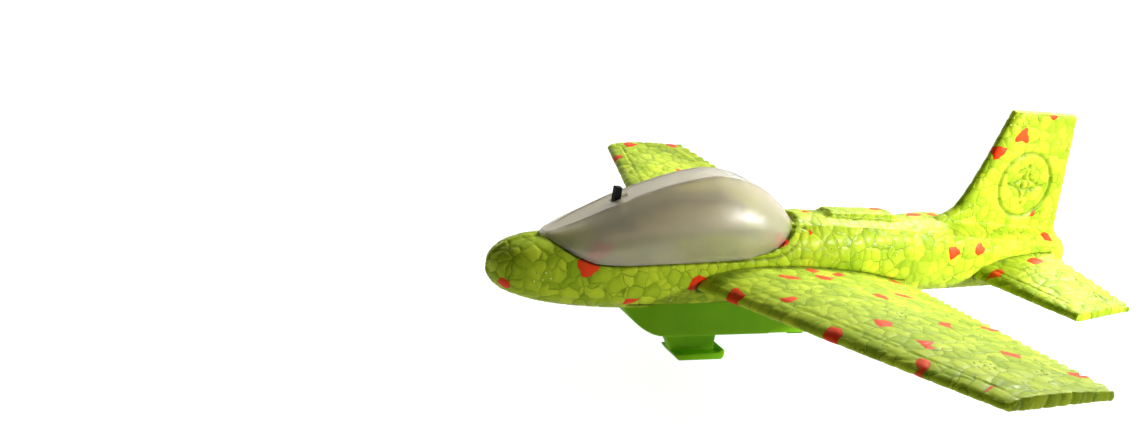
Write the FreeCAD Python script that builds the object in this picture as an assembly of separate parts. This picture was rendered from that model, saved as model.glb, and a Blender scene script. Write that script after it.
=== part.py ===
import FreeCAD, Part
import math
import os

# Foam hand glider with a light box under its canopy. Sizes are in mm.
# The model is drawn from the canopy's front tip: y runs tailward, x to port and z up.
# Each piece is moved at the end, so that the origin is the middle of the launch foot's underside.

os.makedirs("parts", exist_ok=True)
Vec = FreeCAD.Vector

# driving dimensions
footMiddleY = 60.5          # launch foot's middle, tailward of the canopy's tip
footBottomZ = -42.5         # launch foot's underside, below the canopy's tip
noseY = -16.0
noseZ = -11.0
tailY = 208.8
tailZ = -5.5
halfSpan = 116.0
tailHalfSpan = 50.0
wingRootX = 10.5
tailRootX = 10.0
canopyWall = 1.2
canopyLength = 87.0
canopyHalfWidth = 13.4
canopyTopZ = 19.9
canopyLowZ = -14.0          # the canopy's filled volume runs down to here
wallGap = 0.3               # foam to canopy
finThickness = 4.8
emblemRadius = 12.0
emblemGroove = 1.0
emblemDepth = 0.5
keelWidth = 19.2
keelWall = 1.6
keelFrontY = 28.0
keelRearY = 104.0
keelBottomZ = -32.0
railWeb = 4.0
railWidth = 10.4
railFlange = 2.3
boxWall = 1.2
boxHalfWidth = 8.0
boxFrontY = 17.0
boxStepY = 46.0
boxRearY = 64.0
boxDeepZ = -17.2
boxShallowZ = -5.0
tongueHalf = 3.8            # half width of the tongue that carries the rear post
boardThickness = 1.0
boardBottomZ = 2.0
leverWidth = 2.1
leverY = 21.8
leverTopZ = 14.2
leverTravel = 2.0
cellRadius = 5.8
cellThickness = 5.4
cellCount = 3
cellFrontY = 20.4
cellZ = -9.4
screwRadius = 1.15
screwHole = 1.3
pilotRadius = 0.95
screwHeadZ = -22.0          # underside of the keel screws' heads
postRadius = 3.2
pocketGap = 0.25            # foam to light box
frontPostY = 42.6
rearPostY = 73.0
boardScrewY = 59.0
boardScrewX = 4.0

# station, top, bottom, half width of the foam body
bodySections = [
    (-15.2, -8.0, -13.9, 3.4),
    (-13.3, -5.9, -16.2, 6.0),
    (-9.5, -3.6, -18.7, 8.5),
    (-4.0, -1.9, -20.6, 10.1),
    (4.0, -0.9, -22.2, 11.4),
    (16.0, 0.5, -23.4, 12.7),
    (32.0, 2.5, -23.9, 13.6),
    (50.0, 4.6, -23.9, 13.9),
    (70.0, 6.3, -23.2, 13.6),
    (88.0, 7.3, -22.2, 12.9),
    (105.0, 7.2, -21.2, 12.1),
    (125.0, 6.7, -20.2, 11.3),
    (145.0, 6.0, -19.5, 10.6),
    (165.0, 5.2, -18.7, 10.1),
    (185.0, 4.4, -17.6, 9.6),
    (197.0, 3.5, -16.3, 9.0),
    (203.5, 2.3, -14.3, 7.8),
    (207.2, -0.4, -11.0, 5.2),
]
bodySquareness = 2.4

# station, half width, bottom edge, top, half width of the flat top panel of the canopy
canopySections = [
    (3.8, 6.4, -2.6, 1.2, 2.0),
    (9.0, 10.3, -4.9, 3.6, 3.3),
    (15.0, 12.0, -6.5, 6.6, 4.0),
    (22.0, 12.5, -6.7, 10.0, 4.2),
    (31.0, 13.1, -6.2, 13.7, 4.4),
    (40.0, 13.4, -5.7, 16.8, 4.6),
    (48.0, 13.4, -5.3, 18.9, 4.8),
    (55.0, 13.3, -4.9, 19.9, 4.8),
    (62.0, 13.0, -4.6, 19.4, 4.6),
    (70.0, 12.3, -4.1, 17.0, 4.2),
    (77.0, 10.9, -3.3, 13.1, 3.4),
    (82.0, 8.6, -0.9, 9.4, 2.6),
    (85.2, 5.4, 2.9, 6.4, 1.5),
]
canopyFront = (0.3, 1.6, -0.6, 0.1, 0.7)
canopyRear = (86.7, 2.2, 4.8, 5.3, 0.7)


def spline(points):
    curve = Part.BSplineCurve()
    curve.interpolate(points)
    return curve.toShape()


def line(a, b):
    return Part.LineSegment(a, b).toShape()


def box(x0, x1, y0, y1, z0, z1):
    return Part.makeBox(x1 - x0, y1 - y0, z1 - z0, Vec(x0, y0, z0))


def rod(radius, start, end):
    return Part.makeCylinder(radius, (end - start).Length, start, end - start)


def sidePlate(points, halfWidth):
    """A plate whose outline is in the side view, centred on x = 0."""
    outline = [Vec(-halfWidth, y, z) for y, z in points]
    face = Part.Face(Part.makePolygon(outline + [outline[0]]))
    return face.extrude(Vec(2 * halfWidth, 0, 0))


def bodySection(y, top, bottom, halfWidth):
    """One closed rounded section: a superellipse, |x/a|^n + |z/b|^n = 1."""
    count = 24
    power = 2.0 / bodySquareness
    middle = (top + bottom) / 2
    height = (top - bottom) / 2
    points = []
    for i in range(count):
        angle = 2 * math.pi * i / count
        c, s = math.cos(angle), math.sin(angle)
        x = halfWidth * math.copysign(abs(c) ** power, c)
        z = middle + height * math.copysign(abs(s) ** power, s)
        points.append(Vec(x, y, z))
    curve = Part.BSplineCurve()
    curve.interpolate(Points=points, PeriodicFlag=True)
    return Part.Wire([curve.toShape()])


def bodySolid():
    wires = [bodySection(*section) for section in bodySections]
    nose = Part.Vertex(Vec(0, noseY, noseZ))
    tail = Part.Vertex(Vec(0, tailY, tailZ))
    return Part.makeLoft([nose] + wires + [tail], True, False)


def edgeCurveFace(lift, z):
    """Side view region from the canopy's edge line, raised by lift, up or down to the level z."""
    points = [Vec(0, -3.0, 1.6 + lift), Vec(0, 0, lift)]
    points += [Vec(0, y, bottom + lift) for y, w, bottom, top, flat in canopySections]
    points += [Vec(0, canopyLength - 0.3, 5.6 + lift), Vec(0, canopyLength + 0.4, 12.0 + lift)]
    first, last = points[0], points[-1]
    corner1 = Vec(0, last.y, z)
    corner2 = Vec(0, first.y, z)
    wire = Part.Wire([spline(points), line(last, corner1), line(corner1, corner2), line(corner2, first)])
    return Part.Face(wire)


def aboveEdge(lift):
    face = edgeCurveFace(lift, 40.0)
    face.translate(Vec(-30, 0, 0))
    return face.extrude(Vec(60, 0, 0))


def canopySection(y, halfWidth, bottom, top, flat):
    """Flat top panel, a bulging arc each side, and straight sides going down."""
    low = canopyLowZ
    midX = flat + 0.75 * (halfWidth - flat)
    midZ = bottom + 0.66 * (top - bottom)
    a, b = Vec(-flat, y, top), Vec(flat, y, top)
    c, d = Vec(halfWidth, y, bottom), Vec(halfWidth, y, low)
    e, f = Vec(-halfWidth, y, low), Vec(-halfWidth, y, bottom)
    right = Part.Arc(b, Vec(midX, y, midZ), c).toShape()
    left = Part.Arc(f, Vec(-midX, y, midZ), a).toShape()
    return Part.Wire([line(a, b), right, line(c, d), line(d, e), line(e, f), left])


def canopySolid():
    """The canopy's filled volume, down past its edge line."""
    wires = [canopySection(*section) for section in [canopyFront] + canopySections + [canopyRear]]
    return Part.makeLoft(wires, True, False)


def shrunk(shape, wall):
    """The shape with its top, sides and ends moved in by wall."""
    centre = Vec(0, canopyLength / 2, canopyLowZ)
    scaleX = 1 - wall / canopyHalfWidth
    scaleY = 1 - wall / (canopyLength / 2)
    scaleZ = 1 - wall / (canopyTopZ - canopyLowZ)
    matrix = FreeCAD.Matrix()
    matrix.move(-centre)
    matrix.scale(Vec(scaleX, scaleY, scaleZ))
    matrix.move(centre)
    return shape.transformGeometry(matrix)


def aerofoil(x, top, bottom):
    """A closed wing section at x: smooth top and bottom lines, a square rear edge, a round front."""
    upper = [Vec(x, y, z) for y, z in top]
    lower = [Vec(x, y, z) for y, z in bottom]
    front = Vec(x, min(upper[0].y, lower[0].y) - 0.35 * (upper[0].z - lower[0].z), (upper[0].z + lower[0].z) / 2)
    nose = Part.Arc(lower[0], front, upper[0]).toShape()
    rear = line(upper[-1], lower[-1])
    return Part.Wire([nose, spline(upper), rear, spline(list(reversed(lower)))])


def wingSolid():
    rootTop = [(49.2, -12.2), (53.0, -10.1), (60.0, -8.3), (72.0, -7.2), (84.0, -7.2), (98.0, -8.1),
               (112.0, -9.7), (131.4, -13.4)]
    rootBottom = [(49.2, -15.1), (60.0, -15.3), (90.0, -14.6), (131.4, -15.2)]
    tipTop = [(75.0, -1.8), (79.0, -0.7), (86.0, 0.1), (96.0, 0.2), (108.1, -0.3)]
    tipBottom = [(75.0, -4.2), (86.0, -3.8), (108.1, -2.8)]
    wires = []
    for x, top, bottom in ((-halfSpan, tipTop, tipBottom), (-wingRootX, rootTop, rootBottom),
                           (wingRootX, rootTop, rootBottom), (halfSpan, tipTop, tipBottom)):
        if abs(x) == halfSpan:
            top = top[:2] + [(82.0, -0.3)] + top[2:4] + [(102.0, 0.1), (105.0, -0.1)] + top[4:]
            bottom = bottom[:2] + [(97.0, -3.4)] + bottom[2:]
        wires.append(aerofoil(x, top, bottom))
    return Part.makeLoft(wires, True, True)


def tailSolid():
    rootTop = [(163.4, -10.6), (166.0, -8.6), (172.0, -6.4), (181.0, -4.3), (190.0, -3.2), (196.4, -3.1)]
    rootBottom = [(163.4, -12.9), (172.0, -10.2), (184.0, -7.0), (196.4, -5.2)]
    tipTop = [(169.6, -9.6), (171.5, -8.9), (175.0, -8.2), (181.0, -7.4), (187.0, -7.0), (191.6, -6.9)]
    tipBottom = [(169.6, -12.1), (175.0, -11.4), (184.0, -9.9), (191.6, -8.9)]
    wires = []
    for x, top, bottom in ((-tailHalfSpan, tipTop, tipBottom), (-tailRootX, rootTop, rootBottom),
                           (tailRootX, rootTop, rootBottom), (tailHalfSpan, tipTop, tipBottom)):
        wires.append(aerofoil(x, top, bottom))
    return Part.makeLoft(wires, True, True)


def finOutline(x, front, rear, top):
    """The fin's side view at x, with its front, rear and top edges moved in."""
    spineFront, foot = Vec(x, 140.0 + front, 3.5), Vec(x, 146.0 + front, 5.8)
    sweep, rake = Vec(x, 154.6 + front, 10.4), Vec(x, 160.0 + front, 19.5)
    topFront, topRear = Vec(x, 170.4 + front, 46.0 - top), Vec(x, 199.4 - rear, 46.7 - top)
    baseRear, bottom = Vec(x, 203.0 - rear, 2.6), Vec(x, 202.0 - rear, -4.0)
    edges = [line(spineFront, foot), spline([foot, sweep, rake]), line(rake, topFront),
             line(topFront, topRear), line(topRear, baseRear), line(baseRear, bottom), line(bottom, spineFront)]
    return Part.Wire(edges)


def finSolid():
    """Upright fin: raked front edge that sweeps into the spine, level top, near-upright rear edge."""
    half = finThickness / 2
    wires = [finOutline(-half, 3.4, 1.2, 0.9), finOutline(-half + 1.3, 0.0, 0.0, 0.0),
             finOutline(half - 1.3, 0.0, 0.0, 0.0), finOutline(half, 3.4, 1.2, 0.9)]
    return Part.makeLoft(wires, True, True)


def ridgeSolid():
    return sidePlate([(98.6, 5.0), (99.2, 7.0), (101.4, 8.5), (125.0, 8.3), (128.0, 6.7), (128.8, 5.0)], 3.6)


def emblemRing(side):
    centre = Vec(side * (finThickness / 2 - emblemDepth), 182.5, 20.3)
    axis = Vec(side, 0, 0)
    outer = Part.makeCylinder(emblemRadius, 2.0, centre, axis)
    return outer.cut(Part.makeCylinder(emblemRadius - emblemGroove, 2.0, centre, axis))


def keelPrism(inset, low, high):
    """The keel's plan view as an upright prism: an elliptical bow and nearly parallel sides."""
    half = keelWidth / 2 - inset
    front, rear = keelFrontY + inset, keelRearY - inset
    shoulder = keelFrontY + 13.0
    ellipse = Part.Ellipse(Vec(0, front, low), Vec(half, shoulder, low), Vec(0, shoulder, low))
    bow = Part.ArcOfEllipse(ellipse, -math.pi / 2, math.pi / 2).toShape()
    ends = [vertex.Point for vertex in bow.Vertexes]
    side = math.copysign(half - 1.2, ends[1].x)
    corner1 = Vec(side, rear, low)
    corner2 = Vec(-side, rear, low)
    wire = Part.Wire([bow, line(ends[1], corner1), line(corner1, corner2), line(corner2, ends[0])])
    return Part.Face(wire).extrude(Vec(0, 0, high - low))


def keelProfile(inset, topLine):
    """Side view of the keel from its bow curve back to its stern, under the line topLine."""
    bottom = keelBottomZ + inset
    front = keelFrontY + inset
    bow = spline([Vec(0, front, -21.0), Vec(0, front + 3.0, -26.0), Vec(0, front + 8.0, -29.9 + inset / 2),
                  Vec(0, front + 16.0, bottom)])
    upper = [Vec(0, front, -21.0)] + [Vec(0, y, z) for y, z in topLine]
    rear = Vec(0, keelRearY - inset, topLine[-1][1])
    stern = Vec(0, keelRearY - inset, bottom)
    edges = [bow, line(Vec(0, front + 16.0, bottom), stern), line(stern, rear)]
    upper[-1] = rear
    edges += [line(a, b) for a, b in zip(upper, upper[1:])]
    face = Part.Face(Part.Wire(Part.__sortEdges__(edges)))
    face.translate(Vec(-20, 0, 0))
    return face.extrude(Vec(40, 0, 0))


def launchFoot():
    """T-shaped rail under the keel: a thin web, a wide flange and a small catch at its rear end."""
    frontTop, frontLow = 45.4, 51.6
    web = sidePlate([(frontTop, keelBottomZ + 0.5), (frontLow, footBottomZ + 0.6), (66.4, footBottomZ + 0.6),
                     (66.4, keelBottomZ + 0.5)], railWeb / 2)
    flangeTop = footBottomZ + railFlange
    flange = sidePlate([(frontLow - 1.6, flangeTop), (frontLow + 0.6, footBottomZ), (68.4, footBottomZ),
                        (69.0, footBottomZ + 0.9), (69.0, flangeTop + 0.9), (68.2, flangeTop + 1.4),
                        (66.4, flangeTop)], railWidth / 2)
    upright = [e for e in flange.Edges if abs(e.BoundBox.XLength) > railWidth - 0.1]
    flange = flange.makeFillet(0.3, upright)
    return web.fuse(flange)


def keelSolid():
    topLine = [(30.4, -21.2), (36.0, -20.6), (55.0, -18.2), (60.0, -17.6), (keelRearY, -17.6)]
    outer = keelPrism(0, -36, -10).common(keelProfile(0, topLine))
    inner = keelPrism(keelWall, -36, -10).common(keelProfile(keelWall, [(30, -5.0), (keelRearY, -5.0)]))
    keel = outer.cut(inner)
    for y in (frontPostY, rearPostY):
        keel = keel.fuse(rod(postRadius, Vec(0, y, keelBottomZ + 0.5), Vec(0, y, boxDeepZ - 0.05)))
    keel = keel.fuse(launchFoot())
    keel = keel.fuse(box(-4, 4, 93.0, 99.4, -34.6, keelBottomZ + 0.5))
    for y in (frontPostY, rearPostY):
        keel = keel.cut(rod(2.3, Vec(0, y, footBottomZ - 1), Vec(0, y, -22.0)))
        keel = keel.cut(rod(screwHole, Vec(0, y, -23.0), Vec(0, y, boxDeepZ + 1)))
    return keel.removeSplitter()


def screw(head, tip, headRadius):
    """Pan-head tapping screw with a cross recess, from the middle of its head's top to its tip."""
    direction = (tip - head).normalize()
    neck = head + direction * 1.4
    shank = rod(screwRadius, neck, tip - direction * 1.0)
    point = Part.makeCone(screwRadius, 0.3, 1.0, tip - direction * 1.0, direction)
    cap = rod(headRadius, head, neck)
    cap = cap.makeFillet(0.5, [e for e in cap.Edges if (e.CenterOfMass - head).Length < 0.1])
    slots = [Part.makeBox(2.4, 0.5, 1.6, Vec(-1.2, -0.25, -0.8)), Part.makeBox(0.5, 2.4, 1.6, Vec(-0.25, -1.2, -0.8))]
    cross = slots[0].fuse(slots[1])
    cross.translate(head)
    return cap.fuse(shank).fuse(point).cut(cross)


def lightBoxSolid():
    """Cream tub: a deep front for the cells, a shallow rear over the wing, sides that rise in the canopy."""
    side = [(boxFrontY, boxDeepZ), (boxStepY, boxDeepZ), (boxStepY, boxShallowZ), (boxRearY, boxShallowZ),
            (boxRearY, 11.5), (45.0, 11.5), (27.0, 6.5), (27.0, boardBottomZ), (boxFrontY, boardBottomZ)]
    tub = sidePlate(side, boxHalfWidth)
    inside = boxHalfWidth - boxWall
    tub = tub.cut(box(-inside, inside, boxFrontY + boxWall, boxStepY - boxWall, boxDeepZ + boxWall, 20))
    tub = tub.cut(box(-inside, inside, boxStepY - boxWall - 0.1, boxRearY - boxWall, boxShallowZ + boxWall, 20))
    tub = tub.fuse(box(-tongueHalf, tongueHalf, boxRearY - 0.5, rearPostY + tongueHalf, boxShallowZ, -3.4))
    solidPosts = [rod(2.6, Vec(0, frontPostY, boxDeepZ), Vec(0, frontPostY, -2.85)),
                  rod(2.6, Vec(0, rearPostY, boxDeepZ), Vec(0, rearPostY, boxShallowZ + 0.5))]
    for x in (-boardScrewX, boardScrewX):
        solidPosts.append(rod(1.9, Vec(x, boardScrewY, boxShallowZ + 0.5), Vec(x, boardScrewY, boardBottomZ)))
    for post in solidPosts:
        tub = tub.fuse(post)
    for y in (frontPostY, rearPostY):
        tub = tub.cut(rod(pilotRadius, Vec(0, y, boxDeepZ - 1), Vec(0, y, -8.4)))
    tub = tub.cut(rod(pilotRadius, Vec(0, frontPostY, -7.6), Vec(0, frontPostY, 0)))
    for x in (-boardScrewX, boardScrewX):
        tub = tub.cut(rod(pilotRadius, Vec(x, boardScrewY, -3.4), Vec(x, boardScrewY, 4)))
    return tub.removeSplitter()


def buttonCells():
    """Cells in a row, each a steel can with a narrower cap towards the spring."""
    cells = []
    for i in range(cellCount):
        y = cellFrontY + i * cellThickness
        can = rod(cellRadius, Vec(0, y + 0.02, cellZ), Vec(0, y + cellThickness - 0.9, cellZ))
        can = can.makeFillet(0.5, [e for e in can.Edges if e.BoundBox.YMax < y + 0.1])
        cap = rod(cellRadius - 0.9, Vec(0, y + cellThickness - 1.0, cellZ), Vec(0, y + cellThickness - 0.02, cellZ))
        cells.append(can.fuse(cap))
    return Part.makeCompound(cells)


def contactPlate():
    """Sprung metal plate at the cells' front end, with a dimple and a tab for its lead."""
    plate = box(-4.5, 5.5, 18.3, 18.7, -14.5, -3.4)
    plate = plate.fuse(box(3.3, 5.5, 18.3, 18.7, -3.5, 0.6))
    dimple = rod(2.2, Vec(0, 18.6, cellZ), Vec(0, cellFrontY, cellZ))
    return plate.fuse(dimple.makeFillet(0.6, [e for e in dimple.Edges if e.BoundBox.YMin > cellFrontY - 0.1]))


def contactSpring():
    """Wound spring on a plate at the cells' rear end, with a tab for its lead."""
    rear = cellFrontY + cellCount * cellThickness
    wireRadius = 0.3
    helix = Part.makeHelix(1.05, 2.1, 2.8)
    start = Vec(2.8, 0, 0)
    circle = Part.Wire([Part.makeCircle(wireRadius, start, Vec(0, 1, 0))])
    coil = Part.Wire(helix).makePipeShell([circle], True, True)
    coil.rotate(Vec(0, 0, 0), Vec(1, 0, 0), -90)
    coil.translate(Vec(0, rear + 0.35, cellZ))
    back = rear + 2.55
    plate = box(-6.2, 4.5, back, back + 0.4, -14.5, -3.4)
    tab = box(-6.4, -4.9, back, back + 0.4, -3.5, 0.6)
    return plate.fuse(tab).fuse(coil)


def batteryCover():
    cover = box(-6.5, 6.5, 19.0, 44.5, -2.8, -1.6)
    cover = cover.cut(box(-7, -4.7, 38.8, 40.6, -3, -1))
    for y in (22.0, 24.0, 26.0):
        cover = cover.cut(box(-3.5, 3.5, y, y + 0.9, -2.0, -1))
    return cover.cut(rod(screwHole, Vec(0, frontPostY, -4), Vec(0, frontPostY, 0)))


def circuitBoard():
    top = boardBottomZ + boardThickness
    board = box(-6.3, 6.3, boxFrontY + 0.4, boxRearY - 1.5, boardBottomZ, top)
    for x in (-boardScrewX, boardScrewX):
        board = board.cut(rod(screwHole, Vec(x, boardScrewY, 0), Vec(x, boardScrewY, 5)))
    return board


def switchBody():
    """Slide switch: a metal-clad block with a slot for its lever."""
    low = boardBottomZ + boardThickness
    body = box(-2.2, 2.2, 19.4, 28.4, low, low + 3.6)
    body = body.cut(box(-1.5, 1.5, 20.6, 27.2, low + 0.9, low + 2.9))
    return body.cut(box(-leverWidth / 2 - 0.1, leverWidth / 2 + 0.1, leverY - 0.15,
                        leverY + leverWidth + leverTravel + 0.15, low + 2.0, low + 5))


def switchLever():
    low = boardBottomZ + boardThickness
    half = leverWidth / 2
    stem = box(-half, half, leverY, leverY + leverWidth, low + 2.0, leverTopZ)
    top = [e for e in stem.Edges if e.BoundBox.ZMin > leverTopZ - 0.1]
    stem = stem.makeFillet(0.35, top)
    return stem.fuse(box(-1.4, 1.4, leverY - 0.7, leverY + leverWidth + 0.7, low + 1.0, low + 2.8))


def led(y):
    """Round 5 mm lamp: a flange, a straight body and a dome."""
    low = boardBottomZ + boardThickness
    flange = rod(2.9, Vec(0, y, low), Vec(0, y, low + 1.0))
    body = rod(2.5, Vec(0, y, low), Vec(0, y, low + 5.4))
    dome = Part.makeSphere(2.5, Vec(0, y, low + 5.4))
    return flange.fuse(body).fuse(dome.cut(box(-3, 3, y - 3, y + 3, low - 1, low + 5.4)))


def resistor():
    low = boardBottomZ + boardThickness
    height = low + 1.3
    body = rod(0.9, Vec(-2.2, 43.5, height), Vec(2.2, 43.5, height))
    legs = tube([Vec(-3.6, 43.5, low), Vec(-3.6, 43.5, height), Vec(-2.0, 43.5, height)], 0.25, 0.6)
    mirrored = legs.mirror(Vec(0, 0, 0), Vec(1, 0, 0))
    return body.fuse(legs).fuse(mirrored)


def tube(points, radius, bend):
    """A round wire along straight runs joined by tangent arcs of the radius bend."""
    edges = []
    start = points[0]
    for before, corner, after in zip(points, points[1:], points[2:]):
        inward = (before - corner).normalize()
        outward = (after - corner).normalize()
        half = inward.getAngle(outward) / 2
        setback = bend / math.tan(half)
        a = corner + inward * setback
        b = corner + outward * setback
        middle = corner + (inward + outward).normalize() * (bend / math.sin(half) - bend)
        edges.append(line(start, a))
        edges.append(Part.Arc(a, middle, b).toShape())
        start = b
    edges.append(line(start, points[-1]))
    path = Part.Wire(edges)
    circle = Part.Wire([Part.makeCircle(radius, points[0], points[1] - points[0])])
    return path.makePipeShell([circle], True, False)


def leads():
    """Two leads from the contacts' tabs, along the tub and up to the board's underside."""
    under = boardBottomZ
    red = tube([Vec(4.4, 18.75, -0.2), Vec(4.4, 24.5, -0.4), Vec(5.2, 38.0, 0.2), Vec(4.8, 52.0, -0.9),
                Vec(4.8, 52.0, under)], 0.5, 1.3)
    black = tube([Vec(-5.6, 39.7, -0.2), Vec(-5.6, 43.0, -0.6), Vec(-4.2, 50.5, -0.9), Vec(-4.2, 50.5, under)],
                 0.5, 1.3)
    return red, black


def canopyShell():
    solid = canopySolid()
    shell = solid.cut(shrunk(solid, canopyWall)).common(aboveEdge(0.12))
    slot = box(-leverWidth / 2 - 0.4, leverWidth / 2 + 0.4, leverY - 0.5, leverY + leverWidth + leverTravel + 0.5,
               0, 20)
    return shell.cut(slot)


def fuselage(wing, tail, keel):
    body = bodySolid()
    inside = shrunk(canopySolid(), canopyWall + wallGap)
    core = body.common(inside).common(aboveEdge(-0.5))
    shelf = body.cut(aboveEdge(0).common(box(-30, 30, -3.0, canopyLength + 0.4, -12, 40)))
    foam = shelf.fuse(core)
    foam = foam.fuse(ridgeSolid()).fuse(finSolid())
    for side in (-1, 1):
        foam = foam.cut(emblemRing(side))
    half = boxHalfWidth + pocketGap
    foam = foam.cut(box(-half, half, boxFrontY - pocketGap, boxStepY + pocketGap, boxDeepZ - 0.05, 20))
    foam = foam.cut(box(-half, half, boxStepY, boxRearY + pocketGap, boxShallowZ - pocketGap, 20))
    half = tongueHalf + pocketGap
    foam = foam.cut(box(-half, half, boxRearY, rearPostY + half, boxShallowZ - pocketGap, 20))
    for y in (frontPostY, rearPostY):
        foam = foam.cut(rod(postRadius + 0.1, Vec(0, y, -30), Vec(0, y, boxShallowZ - 0.1)))
    return foam.cut(wing).cut(tail).cut(keel)


def export(node, shape):
    placed = shape.copy()
    placed.translate(Vec(0, -footMiddleY, -footBottomZ))
    placed.exportStep("parts/" + node + ".step")
    bounds = placed.BoundBox
    corners = (bounds.XMin, bounds.YMin, bounds.ZMin, bounds.XMax, bounds.YMax, bounds.ZMax)
    print(node, "solids", len(placed.Solids), "valid", placed.isValid(), "volume", round(placed.Volume, 1),
          "box", [round(value, 2) for value in corners])


wing = wingSolid()
wing = wing.cut(rod(2.8, Vec(0, rearPostY, -30), Vec(0, rearPostY, 0)))
tail = tailSolid()
keel = keelSolid()
redLead, blackLead = leads()
boardTop = boardBottomZ + boardThickness
keelScrews = [screw(Vec(0, y, screwHeadZ - 1.4), Vec(0, y, -9.0), 2.1) for y in (frontPostY, rearPostY)]
boardScrews = [screw(Vec(x, boardScrewY, boardTop + 1.4), Vec(x, boardScrewY, -3.0), 1.9)
               for x in (-boardScrewX, boardScrewX)]

export("fuselage", fuselage(wing, tail, keel))
export("main_wing", wing)
export("tailplane", tail)
export("keel", keel)
export("canopy", canopyShell())
export("light_box", lightBoxSolid())
export("battery_cover", batteryCover())
export("button_cells", buttonCells())
export("contact_plate", contactPlate())
export("contact_spring", contactSpring())
export("circuit_board", circuitBoard())
export("switch_body", switchBody())
export("switch_lever", switchLever())
export("led_front", led(36.0))
export("led_rear", led(50.5))
export("resistor", resistor())
export("red_lead", redLead)
export("black_lead", blackLead)
export("keel_screws", Part.makeCompound(keelScrews))
export("board_screws", Part.makeCompound(boardScrews))
export("cover_screw", screw(Vec(0, frontPostY, -0.2), Vec(0, frontPostY, -7.4), 1.9))
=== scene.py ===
import math

import bmesh
import bpy
import numpy as np
from mathutils import Matrix, Vector
from mathutils.bvhtree import BVHTree


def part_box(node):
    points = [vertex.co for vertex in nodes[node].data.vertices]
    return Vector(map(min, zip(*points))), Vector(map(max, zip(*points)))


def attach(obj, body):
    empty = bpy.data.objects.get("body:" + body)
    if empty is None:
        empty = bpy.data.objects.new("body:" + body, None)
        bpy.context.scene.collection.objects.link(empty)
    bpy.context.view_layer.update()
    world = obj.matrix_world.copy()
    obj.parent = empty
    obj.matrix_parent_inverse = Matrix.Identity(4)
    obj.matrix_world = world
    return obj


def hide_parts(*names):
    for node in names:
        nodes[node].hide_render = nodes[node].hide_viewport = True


# Looks for the foam hand glider. Shapes are worked out in mm from the canopy's front tip:
# x to port, y tailward, z up. The datum moves them into the frame, whose origin is under the launch foot.
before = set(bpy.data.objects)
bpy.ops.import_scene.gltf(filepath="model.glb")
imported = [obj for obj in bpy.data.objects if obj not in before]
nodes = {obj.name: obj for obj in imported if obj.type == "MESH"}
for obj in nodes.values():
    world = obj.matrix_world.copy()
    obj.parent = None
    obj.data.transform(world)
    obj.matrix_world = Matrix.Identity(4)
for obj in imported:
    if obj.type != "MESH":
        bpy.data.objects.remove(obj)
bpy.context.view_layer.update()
mm = 0.001
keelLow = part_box("keel")[0]
keelBow, footDrop = 28.0, 42.5  # the keel's bow is this far behind the tip, the foot this far below it
datum = np.array([0.0, keelLow.y / mm - keelBow, keelLow.z / mm + footDrop])
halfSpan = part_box("main_wing")[1].x / mm
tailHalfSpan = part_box("tailplane")[1].x / mm
print("frame loaded, half span", round(halfSpan, 1), "mm")


# small helpers

def smoothLine(stations, values, at):
    # monotone cubic: a slope is the harmonic mean of the chords beside it, or 0 at a turn
    stations = np.asarray(stations, float)
    values = np.asarray(values, float)
    step = np.diff(stations)
    chord = np.diff(values) / step
    slope = np.zeros(len(values))
    before, after = chord[:-1], chord[1:]
    same = before * after > 0
    slope[1:-1][same] = 2 * before[same] * after[same] / (before[same] + after[same])
    slope[0], slope[-1] = chord[0], chord[-1]
    at = np.clip(at, stations[0], stations[-1])
    i = np.clip(np.searchsorted(stations, at, side="right") - 1, 0, len(step) - 1)
    h = step[i]
    t = (at - stations[i]) / h
    s = 1 - t
    return (values[i] * (1 + 2 * t) * s * s + slope[i] * h * t * s * s
            + values[i + 1] * t * t * (3 - 2 * t) - slope[i + 1] * h * t * t * s)


def fade(value, low, high):
    # 0 below low, 1 above high, and the smooth cubic 3t^2 - 2t^3 between
    t = np.clip((value - low) / (high - low), 0, 1)
    return t * t * (3 - 2 * t)


def bell(off, width):
    return np.exp(-(off / width) ** 2)


def edgeRound(distance, radius):
    # height of a quarter circle: 0 at the edge, 1 from one radius in
    t = 1 - np.clip(distance / radius, 0, 1)
    return np.sqrt(np.clip(1 - t * t, 0, 1))


def edgeSteps(length, first, last, count):
    # distances along a width: cosine steps round the radius at each end, even steps between
    turn = 1 - np.cos(np.linspace(0, math.pi / 2, 6))
    middle = np.linspace(0, 1, count)[1:-1]
    length = np.asarray(length, float)[..., None]
    return np.concatenate([first * turn + 0 * length, first + (length - first - last) * middle,
                           length - last * turn[::-1]], axis=-1)


def gridFaces(rows, columns, wrap):
    # four corners of each cell between rows and columns; wrap joins the last column to the first
    r, c = np.meshgrid(np.arange(rows - 1), np.arange(columns if wrap else columns - 1), indexing="ij")
    d = (c + 1) % columns
    corners = [r * columns + c, r * columns + d, (r + 1) * columns + d, (r + 1) * columns + c]
    return np.stack(corners, -1).reshape(-1, 4)


def newObject(name, data):
    thing = bpy.data.objects.new(name, data)
    bpy.context.scene.collection.objects.link(thing)
    return thing


def newPiece(name, points, faces):
    # a mesh from points in mm: merging doubled points closes poles and seams, then faces turn outward
    mesh = bpy.data.meshes.new(name)
    mesh.from_pydata(((points.reshape(-1, 3) + datum) * mm).tolist(), [], faces.tolist())
    build = bmesh.new()
    build.from_mesh(mesh)
    bmesh.ops.remove_doubles(build, verts=build.verts, dist=1e-6)
    bmesh.ops.dissolve_degenerate(build, edges=build.edges, dist=1e-7)
    bmesh.ops.recalc_face_normals(build, faces=build.faces)
    build.to_mesh(mesh)
    build.free()
    mesh.shade_smooth()
    return newObject(name, mesh)


def workIn(piece):
    # the piece's modifiers become its mesh
    graph = bpy.context.evaluated_depsgraph_get()
    mesh = bpy.data.meshes.new_from_object(piece.evaluated_get(graph))
    piece.modifiers.clear()
    piece.data = mesh
    mesh.shade_smooth()


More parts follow.
